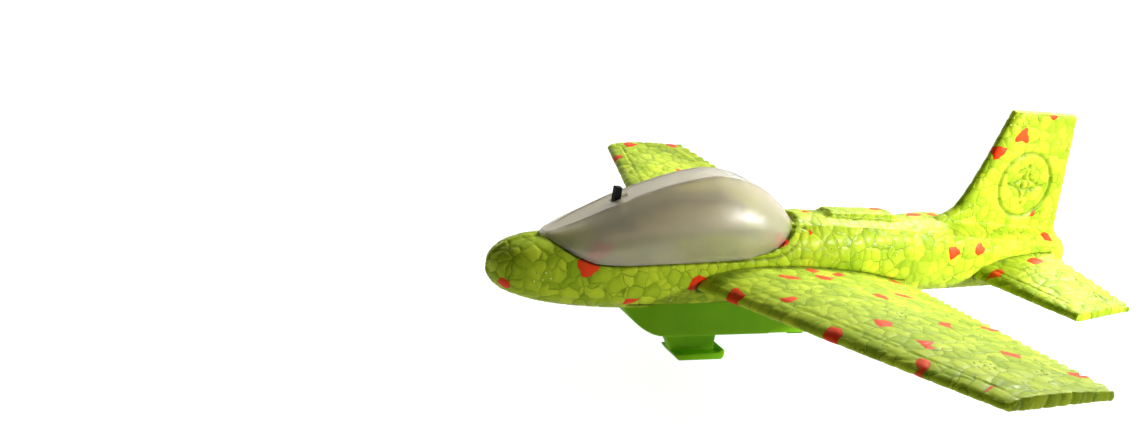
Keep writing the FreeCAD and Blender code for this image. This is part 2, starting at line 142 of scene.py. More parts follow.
def roundOff(piece, voxel, times):
    # remeshed fine and smoothed a little, so that the edges turn round
    remesh = piece.modifiers.new("solid", "REMESH")
    remesh.mode = "VOXEL"
    remesh.voxel_size = voxel * mm
    soften = piece.modifiers.new("soften", "SMOOTH")
    soften.factor = 0.5
    soften.iterations = times
    workIn(piece)


def readVectors(collection, key):
    flat = np.empty(len(collection) * 3)
    collection.foreach_get(key, flat)
    return flat.reshape(-1, 3)


def readPoints(piece):
    return readVectors(piece.data.vertices, "co") / mm - datum


def writePoints(piece, points):
    piece.data.vertices.foreach_set("co", ((points + datum) * mm).ravel())
    piece.data.update()


def join(name, pieces):
    # one object from several closed shells
    build = bmesh.new()
    for piece in pieces:
        build.from_mesh(piece.data)
        bpy.data.objects.remove(piece)
    mesh = bpy.data.meshes.new(name)
    build.to_mesh(mesh)
    build.free()
    return newObject(name, mesh)


def lineDistance(y, z, line):
    # shortest distance in the side view from each point to a line given as an array of its points
    a, b = line[:-1], line[1:]
    best = np.full(len(y), 1e9)
    for (ay, az), (by, bz) in zip(a, b):
        dy, dz = by - ay, bz - az
        t = np.clip(((y - ay) * dy + (z - az) * dz) / max(dy * dy + dz * dz, 1e-9), 0, 1)
        best = np.minimum(best, np.hypot(y - ay - t * dy, z - az - t * dz))
    return best


# node helpers

def feed(tree, socket, value):
    # a socket is linked, anything else is set as the value
    if isinstance(value, bpy.types.NodeSocket):
        tree.links.new(value, socket)
    else:
        socket.default_value = value


def addNode(tree, kind, settings=None, **inputs):
    # one node: settings are its own options, and inputs go by name or by number, as in i0
    node = tree.nodes.new(kind)
    for key, value in (settings or {}).items():
        setattr(node, key, value)
    for key, value in inputs.items():
        numbered = key[0] == "i" and key[1:].isdigit()
        feed(tree, node.inputs[int(key[1:]) if numbered else key], value)
    return node


def work(tree, operation, a, b=0.0, c=0.0):
    return addNode(tree, "ShaderNodeMath", {"operation": operation}, i0=a, i1=b, i2=c).outputs[0]


def mixColour(tree, factor, a, b, blend="MIX"):
    node = addNode(tree, "ShaderNodeMix", {"data_type": "RGBA", "blend_type": blend}, i0=factor, i6=a, i7=b)
    return node.outputs[2]


def ramp(tree, value, low, high, start=0.0, end=1.0):
    # start below low, end above high, and a smooth step between
    settings = {"interpolation_type": "SMOOTHSTEP"}
    node = addNode(tree, "ShaderNodeMapRange", settings, i0=value, i1=low, i2=high, i3=start, i4=end)
    return node.outputs[0]


def noise(tree, place, scale, detail=2.0, **more):
    return addNode(tree, "ShaderNodeTexNoise", Vector=place, Scale=scale, Detail=detail, **more).outputs[0]


def vectorWork(tree, operation, a, b, c=(0.0, 0.0, 0.0)):
    return addNode(tree, "ShaderNodeVectorMath", {"operation": operation}, i0=a, i1=b, i2=c)


def dress(tree, skin, height, depth, strength, values):
    # fills the shader: values by socket name, and a bump of the given depth in mm from the height
    bump = addNode(tree, "ShaderNodeBump", Strength=strength, Distance=depth * mm, Height=height)
    tree.links.new(bump.outputs[0], skin.inputs["Normal"])
    for key, value in values.items():
        feed(tree, skin.inputs[key], value)


def newGroup(name, inputs, outputs):
    # a shader node group with inputs and outputs given as (name, type)
    group = bpy.data.node_groups.new(name, "ShaderNodeTree")
    for label, kind in inputs:
        group.interface.new_socket(label, in_out="INPUT", socket_type="NodeSocket" + kind)
    for label, kind in outputs:
        group.interface.new_socket(label, in_out="OUTPUT", socket_type="NodeSocket" + kind)
    return group, group.nodes.new("NodeGroupInput").outputs, group.nodes.new("NodeGroupOutput").inputs


def newMaterial(name):
    material = bpy.data.materials.new(name)
    material.use_nodes = True
    tree = material.node_tree
    return material, tree, tree.nodes["Principled BSDF"]


def useGroup(tree, group, **inputs):
    node = tree.nodes.new("ShaderNodeGroup")
    node.node_tree = group
    for key, value in inputs.items():
        feed(tree, node.inputs[key], value)
    return node.outputs


def objectPlace(tree):
    return tree.nodes.new("ShaderNodeTexCoord").outputs["Object"]


# bead foam: cells, their relief and the bright beads among them

beads = {
    "size": 4.2,             # mm across a bead
    "spread": 0.86,          # 0 is a square lattice, 1 is fully random
    "relief": 0.14,          # depth of the valleys between beads
    "valley": 0.13,          # half width of a valley, in beads
    "line": 0.045,           # half width of the dark line, in beads
    "light": (0.58, 0.71, 0.030, 1.0),
    "deep": (0.25, 0.39, 0.006, 1.0),
    "gap": (0.060, 0.120, 0.002, 1.0),
    "bright": (0.78, 0.030, 0.004, 1.0),
    "brightHigh": (1.0, 0.12, 0.02, 1.0),
    # painted shade: the foam darkens to this along the seams between parts and in the emblem's recess
    "seamShade": (0.010, 0.030, 0.004, 1.0),
    "bend": 3.2,             # mm that the borders wander
    "bendScale": 210.0,
    "dome": 0.10,            # how much lower a bead gets from its centre to one bead away
    "match": 0.35,           # mm within which a cell's centre is a placed one
    "starboardShare": 0.03,  # share of bright beads where none is listed
}
beadScale = 1.0 / (beads["size"] * mm)

# places of bright beads, in mm from the canopy's tip
brightBeads = {
    "foamBody": [(7, -11, -15), (11, 9, -7), (11, 26, -20), (14, 47, -12), (10, 89, 3), (10, 153, -3),
                 (9, 161, -1), (7, 197, 1), (2, 167, 33), (2, 176, 38), (2, 188, 45), (2, 189, 12),
                 (11, 17, -1), (10, 76, 3)],
    "foamWing": [(26, 52, -11), (21, 74, -7), (17, 89, -7), (24, 88, -6), (20, 96, -7), (40, 63, -7),
                 (39, 94, -6), (63, 77, -4), (39, 108, -7), (65, 64, -7), (80, 78, -4), (64, 99, -5),
                 (93, 70, -5), (64, 114, -6), (108, 76, -3), (92, 100, -3), (103, 108, -3), (14, 124, -12),
                 (-111, 81, -2), (-113, 104, -2), (-99, 72, -4), (-80, 90, -3), (-62, 70, -5), (-47, 99, -6),
                 (-30, 80, -7)],
    "foamTailplane": [(13, 168, -8), (14, 186, -4), (-46, 178, -8), (-46, 189, -7), (-24, 174, -8)],
}


def beadVectors(tree, place, flat):
    # flat pieces read one middle layer of the cells, so that the beads keep an even size over them
    scale = (1.0, 1.0, 0.0 if flat else 1.0)
    offset = (0.0, 0.0, 0.5 * beads["size"] * mm if flat else 0.0)
    even = vectorWork(tree, "MULTIPLY_ADD", place, scale, offset).outputs[0]
    swirl = addNode(tree, "ShaderNodeTexNoise", Vector=place, Scale=beads["bendScale"], Detail=1.0)
    bend = beads["bend"] * mm  # the borders bend: noise less its mean is added to the place
    bent = vectorWork(tree, "MULTIPLY_ADD", swirl.outputs["Color"], (bend,) * 3, even).outputs[0]
    return vectorWork(tree, "SUBTRACT", bent, (bend / 2,) * 3).outputs[0]


def cells(tree, vector, feature):
    settings = {"voronoi_dimensions": "3D", "feature": feature}
    return addNode(tree, "ShaderNodeTexVoronoi", settings, Vector=vector, Scale=beadScale,
                   Randomness=beads["spread"])


def pressBeads(piece, flat):
    # each point moves in along its normal, by a depth that fades out from a cell's border over half a valley;
    # it gives back the centres of the cells that hold the placed bright beads
    tree = bpy.data.node_groups.new("beadRelief", "GeometryNodeTree")
    tree.interface.new_socket("Geometry", in_out="INPUT", socket_type="NodeSocketGeometry")
    tree.interface.new_socket("Geometry", in_out="OUTPUT", socket_type="NodeSocketGeometry")
    start = tree.nodes.new("NodeGroupInput")
    finish = tree.nodes.new("NodeGroupOutput")
    vector = beadVectors(tree, tree.nodes.new("GeometryNodeInputPosition").outputs[0], flat)
    border = cells(tree, vector, "DISTANCE_TO_EDGE").outputs["Distance"]
    nearest = cells(tree, vector, "F1")
    depth = ramp(tree, border, 0.0, beads["valley"], -beads["relief"] * mm, 0.0)
    dome = work(tree, "MULTIPLY", nearest.outputs["Distance"], -beads["dome"] * mm)
    height = work(tree, "ADD", depth, dome)
    normal = tree.nodes.new("GeometryNodeInputNormal").outputs[0]
    move = addNode(tree, "ShaderNodeVectorMath", {"operation": "SCALE"}, i0=normal, Scale=height)
    store = addNode(tree, "GeometryNodeStoreNamedAttribute", {"data_type": "FLOAT_VECTOR", "domain": "POINT"},
                    Geometry=start.outputs[0], Name="beadCentre")
    value = [s for s in store.inputs if s.name == "Value" and s.enabled][0]
    tree.links.new(nearest.outputs["Position"], value)
    shift = addNode(tree, "GeometryNodeSetPosition", Geometry=store.outputs[0], Offset=move.outputs[0])
    tree.links.new(shift.outputs[0], finish.inputs[0])
    points = readPoints(piece)
    piece.modifiers.new("beads", "NODES").node_group = tree
    workIn(piece)
    attribute = piece.data.attributes["beadCentre"]
    centres = readVectors(attribute.data, "vector")
    piece.data.attributes.remove(attribute)
    nearestPoints = [np.argmin(((points - place) ** 2).sum(1)) for place in brightBeads[piece.name]]
    return [tuple(centres[i]) for i in nearestPoints]


def makeBeadGroup():
    # moulded bead foam: each cell's tone with painted dome shading, its picking number, its border line and
    # valley, and skin grain
    outputs = [(label, "Float") for label in ("Shade", "Line", "Pick", "Grain", "Valley")]
    group, given, out = newGroup("beadSkin", [("Vector", "Vector"), ("Place", "Vector")], outputs)
    place = given["Place"]
    border = cells(group, given["Vector"], "DISTANCE_TO_EDGE").outputs["Distance"]
    nearest = cells(group, given["Vector"], "F1")
    split = addNode(group, "ShaderNodeSeparateColor", i0=nearest.outputs["Color"])
    ragged = work(group, "MULTIPLY_ADD", noise(group, place, 520.0, 3.0), 0.05, -0.025)
    line = ramp(group, work(group, "ADD", border, ragged), 0.010, beads["line"], 1.0, 0.0)
    patch = ramp(group, noise(group, place, 130.0, 1.0), 0.32, 0.62, 0.25, 1.0)
    fleck = addNode(group, "ShaderNodeTexVoronoi", Vector=place, Scale=beadScale * 2.3, Randomness=1.0)
    flecks = addNode(group, "ShaderNodeSeparateColor", i0=fleck.outputs["Color"]).outputs[0]
    # lighter at each cell's centre and darker toward its border: painted shading of the bead's dome
    middle = ramp(group, nearest.outputs["Distance"], 0.0, 0.75, 0.16, -0.10)
    shade = work(group, "MULTIPLY_ADD", split.outputs[0], 0.66, middle)
    shade = work(group, "ADD", shade, work(group, "MULTIPLY_ADD", noise(group, place, 75.0), 0.5, -0.15))
    shade = work(group, "ADD", shade, work(group, "MULTIPLY", flecks, 0.16))
    group.links.new(shade, out["Shade"])
    group.links.new(work(group, "MULTIPLY", line, patch), out["Line"])
    group.links.new(split.outputs[1], out["Pick"])
    group.links.new(noise(group, place, 2600.0, 4.0, Roughness=0.65), out["Grain"])
    group.links.new(ramp(group, border, 0.0, beads["valley"] * 2.2, 1.0, 0.0), out["Valley"])
    return group


beadGroup = makeBeadGroup()


def foamMaterial(name, flat, centres, starboardShare):
    material, tree, skin = newMaterial(name)
    place = objectPlace(tree)
    vector = beadVectors(tree, place, flat)
    bead = useGroup(tree, beadGroup, Vector=vector, Place=place)
    colour = mixColour(tree, bead["Shade"], beads["deep"], beads["light"])
    centre = cells(tree, vector, "F1").outputs["Position"]
    bright = None
    for seed in centres:  # a cell is bright when its own centre is one of the placed ones
        apart = vectorWork(tree, "DISTANCE", centre, seed).outputs["Value"]
        hit = work(tree, "LESS_THAN", apart, beads["match"] * mm)
        bright = hit if bright is None else work(tree, "MAXIMUM", bright, hit)
    side = addNode(tree, "ShaderNodeSeparateXYZ", i0=place).outputs[0]
    far = work(tree, "MULTIPLY", work(tree, "LESS_THAN", side, -0.3 * mm),
               work(tree, "GREATER_THAN", bead["Pick"], 1 - starboardShare))
    bright = work(tree, "MAXIMUM", bright, far)
    tint = work(tree, "MULTIPLY", bead["Shade"], 0.45)
    colour = mixColour(tree, bright, colour, mixColour(tree, tint, beads["bright"], beads["brightHigh"]))
    lineStrength = work(tree, "MULTIPLY", bead["Line"], work(tree, "MULTIPLY_ADD", bright, -0.35, 0.62))
    colour = mixColour(tree, lineStrength, colour, beads["gap"])
    # painted shade along the seams where parts meet and in the emblem's recess
    seamShade = addNode(tree, "ShaderNodeAttribute", {"attribute_name": "seamShade"}).outputs["Fac"]
    colour = mixColour(tree, seamShade, colour, beads["seamShade"])
    height = work(tree, "SUBTRACT", work(tree, "MULTIPLY", bead["Grain"], 0.35), bead["Valley"])
    dress(tree, skin, height, 0.2, 0.25, {
        "Base Color": colour,
        "Roughness": work(tree, "MULTIPLY_ADD", bead["Pick"], 0.20, 0.42),
        "Subsurface Weight": 0.16,
        "Subsurface Radius": (0.7, 1.0, 0.15),
        "Subsurface Scale": 1.4 * mm,
        "Coat Weight": 0.03,
        "Coat Roughness": 0.18,
        "Specular IOR Level": 0.15,
        "Specular Tint": (1.0, 1.0, 0.4, 1.0),
        "Sheen Weight": 0.10,
        "Sheen Roughness": 0.35,
        "Sheen Tint": (1.0, 1.0, 0.45, 1.0),
    })
    return material


def setMaterial(piece, material):
    piece.data.materials.clear()
    piece.data.materials.append(material)


# canopy lines, shared by the foam ledge and the clear moulding

canopy = {
    "length": 87.0,
    "wall": 1.1,
    "rim": 0.28,             # how far the bottom edge stands out
    "welt": 0.26,            # raised line along each side of the top panel
    "stations": [0.0, 0.3, 3.8, 9.0, 15.0, 22.0, 31.0, 40.0, 48.0, 55.0, 62.0, 70.0, 77.0, 82.0, 85.2, 86.7,
                 87.0],
    "half": [0.0, 1.6, 6.4, 10.3, 12.0, 12.5, 13.1, 13.4, 13.4, 13.3, 13.0, 12.3, 10.9, 8.6, 5.4, 2.2, 0.0],
    "bottom": [0.0, -0.6, -2.6, -4.9, -6.5, -6.7, -6.2, -5.7, -5.3, -4.9, -4.6, -4.1, -3.3, -0.9, 2.9, 4.8,
               5.0],
    "top": [0.0, 0.1, 1.2, 3.6, 6.6, 10.0, 13.7, 16.8, 18.9, 19.9, 19.4, 17.0, 13.1, 9.4, 6.4, 5.3, 5.0],
    "flat": [0.0, 0.7, 2.0, 3.3, 4.0, 4.2, 4.4, 4.6, 4.8, 4.8, 4.6, 4.2, 3.4, 2.6, 1.5, 0.7, 0.0],
    "slotFront": 21.3,
    "slotRear": 26.4,
    "slotHalf": 1.45,
}


def canopyLine(key, y):
    if key == "half":  # squares keep the ends round
        return np.sqrt(np.clip(smoothLine(canopy["stations"], np.square(canopy["half"]), y), 0, None))
    return smoothLine(canopy["stations"], canopy[key], y)


# foam body with ridge, plinth and fin

body = {
    "squareness": 2.4,
    "rows": 330,
    "columns": 150,
    "voxel": 0.54,
    "soften": 2,
    "stations": [-16.0, -15.2, -13.3, -9.5, -4.0, 4.0, 16.0, 32.0, 50.0, 70.0, 88.0, 105.0, 125.0, 145.0,
                 165.0, 185.0, 197.0, 203.5, 207.2, 208.8],
    "top": [-11.0, -8.0, -5.9, -3.6, -1.9, -0.9, 0.5, 2.5, 4.6, 6.3, 7.3, 7.2, 6.7, 6.0, 5.2, 4.4, 3.5, 2.3,
            -0.4, -5.5],
    "bottom": [-11.0, -13.9, -16.2, -18.7, -20.6, -22.2, -23.4, -23.9, -23.9, -23.2, -22.2, -21.2, -20.2,
               -19.5, -18.7, -17.6, -16.3, -14.3, -11.0, -5.5],
    "half": [0.0, 3.4, 6.0, 8.5, 10.1, 11.4, 12.7, 13.6, 13.9, 13.6, 12.9, 12.1, 11.3, 10.6, 10.1, 9.6, 9.0,
             7.8, 5.2, 0.0],
    "shoulder": 8.0,         # half the width between the creases along the top deck
    "shoulderRise": 1.05,
    "cradleSlope": 3.6,      # how steeply the foam rises away from the canopy's rear
    "flange": 0.55,          # parting flash round the nose
    "seamDepth": 0.45,
    "pocketHalf": 8.25,
    "pocketFront": 16.75,
    "pocketStep": 46.25,
    "pocketRear": 64.25,
    "pocketDeep": -17.3,
    "pocketShallow": -5.3,
    "pocketTop": -8.0,       # foam above this height sinks to the pocket's floor
}
finLines = {
    "base": 2.0,
    "top": 46.6,
    "front": [(2.0, 139.0), (5.8, 146.0), (10.4, 154.6), (19.5, 160.0), (46.6, 170.6)],
    "rear": [(2.0, 203.1), (46.6, 199.4)],
    "half": 2.4,
    "noseRadius": 4.2,
    "tailRadius": 1.3,
    "topRadius": 0.9,
    "emblemY": 182.5,
    "emblemZ": 20.3,
    "emblemRadius": 11.6,
    "emblemDepth": 0.85,
    "starRadius": 8.6,
    "hubRadius": 1.7,
}
ridge = {
    "base": 2.0,
    "top": 8.9,
    "front": 98.4,
    "rear": 129.4,
    "half": 3.8,
    "frontSlope": (6.8, 1.3),    # height where the end starts to lean, and its lean
    "rearSlope": (6.4, 1.4),
}
plinth = {
    "front": 136.0,
    "rear": 203.4,
    "half": 4.0,
    "rise": 3.4,
    "base": (3.3, 0.5),          # heights of its foot at the front and rear
    "rows": 12,
}


def bodySweep():
    # superellipse sections along y: x = a sgn(c)|c|^(2/n) and z = middle + b sgn(s)|s|^(2/n), with c and s
    # the angle's cosine and sine; under the canopy they narrow to fit inside it
    stations = body["stations"]
    turn = np.linspace(0, math.pi, body["rows"])
    even = np.linspace(0, 1, body["rows"])
    along = 0.35 * (1 - np.cos(turn)) / 2 + 0.65 * even
    y = (stations[0] + (stations[-1] - stations[0]) * along)[:, None]
    top, bottom = np.array(body["top"]), np.array(body["bottom"])
    middle = smoothLine(stations, (top + bottom) / 2, y)
    height = np.sqrt(np.clip(smoothLine(stations, ((top - bottom) / 2) ** 2, y), 0, None))
    half = np.sqrt(np.clip(smoothLine(stations, np.square(body["half"]), y), 0, None))
    angle = np.linspace(0, 2 * math.pi, body["columns"], endpoint=False)[None, :]
    power = 2 / body["squareness"]
    c, s = np.cos(angle), np.sin(angle)
    x = half * np.sign(c) * np.abs(c) ** power
    z = middle + height * np.sign(s) * np.abs(s) ** power
    y = y + 0 * x
    outside = np.abs(x) - canopyLine("half", y) - 0.3
    under = (y > 0) & (y < canopy["length"] + 0.2)
    cradle = canopyLine("bottom", y) + body["cradleSlope"] * outside
    z = np.where(under & (outside > 0) & (y > 56), np.minimum(z, cradle), z)
    inside = under & (z > canopyLine("bottom", y) - 0.2) & ((outside < 0.2) | (y < 56))
    limit = np.clip(canopyLine("half", y) - canopy["wall"] - 0.4, 0, None)
    x = np.where(inside, np.clip(x, -limit, limit), x)
    z = np.where(inside, np.minimum(z, canopyLine("top", y) - canopy["wall"] - 0.4), z)
    return newPiece("bodyShell", np.stack([x, y, z], -1), gridFaces(body["rows"], body["columns"], True))


def uprightPlate(name, z, front, rear, half, noseRadius, tailRadius, topRadius, count):
    # a plate along the spine: at height z it runs from front to rear, and it rounds off at each edge
    length = rear - front
    along = edgeSteps(length, noseRadius, tailRadius, count)
    thick = half * edgeRound(along, noseRadius) * edgeRound(length[:, None] - along, tailRadius)
    thick = thick * edgeRound(z[-1] - z, topRadius)[:, None]
    y = front[:, None] + along
    height = z[:, None] + 0 * y
    port = np.stack([thick, y, height], -1)
    starboard = np.stack([-thick, y, height], -1)[:, -2:0:-1]
    points = np.concatenate([port, starboard], axis=1)
    rows, columns = points.shape[:2]
    floor = np.stack([points[0, :, 0], points[0, :, 1], np.full(columns, z[0] - 0.01)], -1)
    floor[:, 0] = 0  # the lowest row folds to the middle, which closes the plate
    points = np.concatenate([floor[None], points], axis=0)
    return newPiece(name, points, gridFaces(rows + 1, columns, True))


def finPlate():
    fin = finLines
    z = edgeSteps(np.array(fin["top"] - fin["base"]), 0.3, fin["topRadius"], 90) + fin["base"]
    front, rear = [smoothLine(*np.transpose(fin[edge]), z) for edge in ("front", "rear")]
    return uprightPlate("finShell", z, front, rear, fin["half"], fin["noseRadius"], fin["tailRadius"],
                        fin["topRadius"], 80)


def ridgePlate():
    z = np.linspace(ridge["base"], ridge["top"], 30)
    (frontZ, frontLean), (rearZ, rearLean) = ridge["frontSlope"], ridge["rearSlope"]
    front = ridge["front"] + np.clip(z - frontZ, 0, None) * frontLean
    rear = ridge["rear"] - np.clip(z - rearZ, 0, None) * rearLean
    return uprightPlate("ridgeShell", z, front, rear, ridge["half"], 0.5, 0.5, 0.35, 60)


def plinthPlate():
    # the low pad that the fin stands on: a plate of height 1, then stretched and set on the sloping back
    rows, ends = plinth["rows"], [plinth["front"], plinth["rear"]]
    z = np.linspace(0.0, 1.0, rows)
    front, rear = [np.full(rows, end) for end in ends]
    pad = uprightPlate("plinthShell", z, front, rear, plinth["half"], 3.4, 2.0, 0.4, 60)
    points = readPoints(pad)
    points[:, 2] = points[:, 2] * plinth["rise"] + np.interp(points[:, 1], ends, plinth["base"])
    writePoints(pad, points)
    return pad


def emblemDepth(y, z):
    # a ring with a plain four-pointed star inside: near 1 along their lines, 0 elsewhere
    dy, dz = y - finLines["emblemY"], z - finLines["emblemZ"]
    radius = np.hypot(dy, dz)
    ring = bell(radius - finLines["emblemRadius"], 0.6)
    angle = np.arctan2(dz, dy)
    starEdge = finLines["starRadius"] / (1 + 2.1 * np.abs(np.sin(2 * angle)) ** 0.8)
    star = bell(radius - starEdge, 0.6)
    hub = bell(radius - finLines["hubRadius"], 0.5)
    return np.maximum(np.maximum(ring, star), hub)


def rootLine(shape):
    # the closed line in the side view where wing or tailplane leaves the body
    nose = [shape["rootNose"]]
    return np.array(nose + shape["rootTop"] + shape["rootBottom"][::-1] + nose)


def shapeBody(piece):
    # details move points along their normals: shoulder crease, flash, seams, emblem; then the pocket is sunk
    points = readPoints(piece)
    normal = readVectors(piece.data.vertex_normals, "vector")
    x, y, z = points.T
    onBody = fade(-(z - np.interp(y, [-16, 80, 140, 209], [30, 9.6, 7.6, 5.6])), -0.5, 0.5)
    side = np.abs(x)
    rise = np.zeros(len(x))
    shoulderZone = fade(y, 86, 94) * fade(-y, -206, -199) * (normal[:, 2] > 0.1) * onBody
    rise += body["shoulderRise"] * np.exp(-np.abs(side - body["shoulder"]) / 1.3) * shoulderZone
    flashZone = fade(-y, -1.0, 1.5) + fade(-(z + 18.5), 0.0, 2.0) * fade(-y, -28, -20)
    rise += body["flange"] * np.exp(-(x / 0.5) ** 4) * np.clip(flashZone, 0, 1)
    # the seams' mask sinks their grooves and also paints shade into the foam's colour
    seamShade = np.zeros(len(x))
    for line, reach in ((rootLine(wing), 9.0), (rootLine(tailplane), 6.5)):
        low, high = line[:, 0].min() - 3, line[:, 0].max() + 3
        near = np.where((side > reach) & (y > low) & (y < high) & (z < 0))[0]
        gap = lineDistance(y[near], z[near], line)
        seamShade[near] = np.maximum(seamShade[near], bell(gap, 0.55))
    keelSide = (y > 27.5) & (y < 104.5) & (z < -15) & (normal[:, 2] < 0.2)
    seamShade = np.maximum(seamShade, bell(side - 9.7, 0.6) * keelSide)
    ledge = (y > -0.5) & (y < canopy["length"] + 1.0) & (side > 1.0)
    seamShade = np.maximum(seamShade, 0.75 * bell(z - canopyLine("bottom", y) + 0.15, 0.4) * ledge)
    rise -= body["seamDepth"] * seamShade
    onFin = (side < 3.0) & (side > 0.8) & (z > 7.0) & (np.abs(normal[:, 0]) > 0.7)
    emblem = emblemDepth(y, z) * onFin
    rise -= finLines["emblemDepth"] * emblem
    points = points + normal * rise[:, None]
    floor = np.where(y < body["pocketStep"], body["pocketDeep"], body["pocketShallow"])
    inPocket = (side < body["pocketHalf"]) & (y > body["pocketFront"]) & (y < body["pocketRear"])
    inPocket &= (normal[:, 2] > 0.0) & (z > body["pocketTop"])
    points[:, 2] = np.where(inPocket, floor, points[:, 2])
    writePoints(piece, points)
    # the seams and, more lightly, the emblem keep this mask to paint shade into the colour
    attribute = piece.data.attributes.new("seamShade", "FLOAT", "POINT")
    attribute.data.foreach_set("value", np.maximum(seamShade * 0.9, emblem * 0.55))


# wing and tailplane

wing = {
    "rootX": 10.5,
    "rootNose": (48.2, -13.6),
    "rootTop": [(49.2, -12.2), (53.0, -10.1), (60.0, -8.3), (72.0, -7.2), (84.0, -7.2), (98.0, -8.1),
                (112.0, -9.7), (131.4, -13.4)],
    "rootBottom": [(49.2, -15.1), (60.0, -15.3), (90.0, -14.6), (131.4, -15.2)],
    "tipTop": [(75.0, -1.8), (79.0, -0.7), (86.0, 0.1), (96.0, 0.2), (108.1, -0.3)],
    "tipBottom": [(75.0, -4.2), (86.0, -3.8), (108.1, -2.8)],
    "noseReach": 0.9,        # the round front edge ahead of the first point
    "noseRadius": 1.6,
    "tailRadius": 0.35,
    "tipRadius": 0.55,
    "rows": 330,
    "columns": 92,
    "scallop": 1.15,         # how far the beads stand out along the rear edge
    "lines": {"lead": (5.2,), "trail": (8.4, 10.0), "from": 20.0, "cross": (46.0, 81.0, 110.5)},
    "rootArc": (88.0, 24.0, 52.0),   # the curved line by the body: its middle y, reach outward, half length
}
tailplane = {
    "rootX": 10.0,
    "rootNose": (162.6, -11.8),
    "rootTop": [(163.4, -10.6), (166.0, -8.6), (172.0, -6.4), (181.0, -4.3), (190.0, -3.2), (196.4, -3.1)],
    "rootBottom": [(163.4, -12.9), (172.0, -10.2), (184.0, -7.0), (196.4, -5.2)],
    "tipTop": [(169.6, -9.6), (171.5, -8.9), (175.0, -8.2), (181.0, -7.4), (187.0, -7.0), (191.6, -6.9)],
    "tipBottom": [(169.6, -12.1), (175.0, -11.4), (184.0, -9.9), (191.6, -8.9)],
    "noseReach": 0.7,
    "noseRadius": 1.2,
    "tailRadius": 0.35,
    "tipRadius": 0.5,
    "rows": 200,
    "columns": 66,
    "scallop": 0.9,
    "lines": {"lead": (4.2,), "trail": (6.2, 7.6), "from": 13.0, "cross": (45.0,)},
    "rootArc": None,
}


def scallops(along, phase):
    # the outline of beads in a row: |sin| arches whose length drifts
    return np.abs(np.sin(along / 1.45 + 0.9 * np.sin(along / 7.3 + phase))) ** 0.6


def flyingSurface(name, shape, half):
    # sections across the span: top and bottom lines blend from root to tip, and edges round off
    x = edgeSteps(np.array(2 * half), shape["tipRadius"], shape["tipRadius"], shape["rows"]) - half
    blend = np.clip((np.abs(x) - shape["rootX"]) / (half - shape["rootX"]), 0, 1)

    def between(kind, reach, at):
        root, tip = shape["root" + kind], shape["tip" + kind]
        return root[at][0] + reach + (tip[at][0] - root[at][0]) * blend

    front = between("Top", -shape["noseReach"], 0)
    rear = between("Top", 0.0, -1)
    length = rear - front
    along = edgeSteps(length, shape["noseRadius"], shape["tailRadius"], shape["columns"])
    part = along / length[:, None]

    def height(kind):
        lines = []
        for end in ("root", "tip"):
            y = np.array([p[0] for p in shape[end + kind]])
            z = [p[1] for p in shape[end + kind]]
            lines.append(smoothLine((y - y[0]) / (y[-1] - y[0]), z, part))
        return lines[0] * (1 - blend[:, None]) + lines[1] * blend[:, None]

    top, bottom = height("Top"), height("Bottom")
    toRear = length[:, None] - along
    toTip = (half - np.abs(x))[:, None]
    thick = (top - bottom) / 2 * edgeRound(along, shape["noseRadius"])
    thick = thick * edgeRound(toRear, shape["tailRadius"]) * edgeRound(toTip, shape["tipRadius"])
    thick = thick * (1 + 0.7 * (scallops(x, 0.4)[:, None] - 0.45) * np.exp(-toRear / 1.8))
    middle = (top + bottom) / 2
    y = front[:, None] + along
    wide = np.abs(x)[:, None] + 0 * y
    lines = shape["lines"]
    groove = np.zeros_like(y)
    span = fade(wide, lines["from"], lines["from"] + 1) * fade(-wide, -half + 4.0, -half + 5.0)
    for gap in lines["lead"]:
        groove = np.maximum(groove, bell(along - gap, 0.36) * span)
    for gap in lines["trail"]:
        groove = np.maximum(groove, bell(toRear - gap, 0.34) * span)
    lead, trail = lines["lead"][0], lines["trail"][0]
    chord = fade(along, lead - 0.3, lead + 0.3) * fade(toRear, trail - 0.3, trail + 0.3)
    for place in lines["cross"]:
        groove = np.maximum(groove, bell(wide - place, 0.38) * chord)
    if shape["rootArc"]:
        centre, reach, across = shape["rootArc"]
        off = np.clip(1 - ((y - centre) / across) ** 2, 0, 1)
        arc = shape["rootX"] + reach * np.sqrt(off)
        groove = np.maximum(groove, bell(wide - arc, 0.5) * chord * 0.7)
    lump = shape["scallop"] * (scallops(x, 0.4)[:, None] - 0.55) * np.exp(-toRear / 1.6)
    lump = lump - 0.22 * (scallops(x, 2.2)[:, None] - 0.4) * np.exp(-along / 1.6)
    y = y + lump
    outward = np.sign(x)[:, None] * 0.35 * (scallops(y, 1.1) - 0.75) * np.exp(-toTip / 1.5)
    across = x[:, None] + outward
    upper = np.stack([across, y, middle + thick - 0.32 * groove * (thick > 0.5)], -1)
    lower = np.stack([across, y, middle - thick], -1)[:, -2:0:-1]
    points = np.concatenate([upper, lower], axis=1)
    return newPiece(name, points, gridFaces(*points.shape[:2], True))


# build the foam pieces

foamBody = join("foamBody", [bodySweep(), finPlate(), ridgePlate(), plinthPlate()])
roundOff(foamBody, body["voxel"], body["soften"])
shapeBody(foamBody)
bodyCentres = pressBeads(foamBody, False)
setMaterial(foamBody, foamMaterial("beadFoamBody", False, bodyCentres, beads["starboardShare"]))
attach(foamBody, "airframe")
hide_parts("fuselage")
print("foam body", len(foamBody.data.polygons), "faces")

for pieceName, shape, half, node in (("foamWing", wing, halfSpan, "main_wing"),
                                     ("foamTailplane", tailplane, tailHalfSpan, "tailplane")):
    piece = flyingSurface(pieceName, shape, half)
    centres = pressBeads(piece, True)
    setMaterial(piece, foamMaterial("beadFoam" + pieceName[4:], True, centres, 0.0))
    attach(piece, "airframe")
    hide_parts(node)
    print(pieceName, len(piece.data.polygons), "faces")


# vent marks: small rings of raised dots left by the mould's steam vents

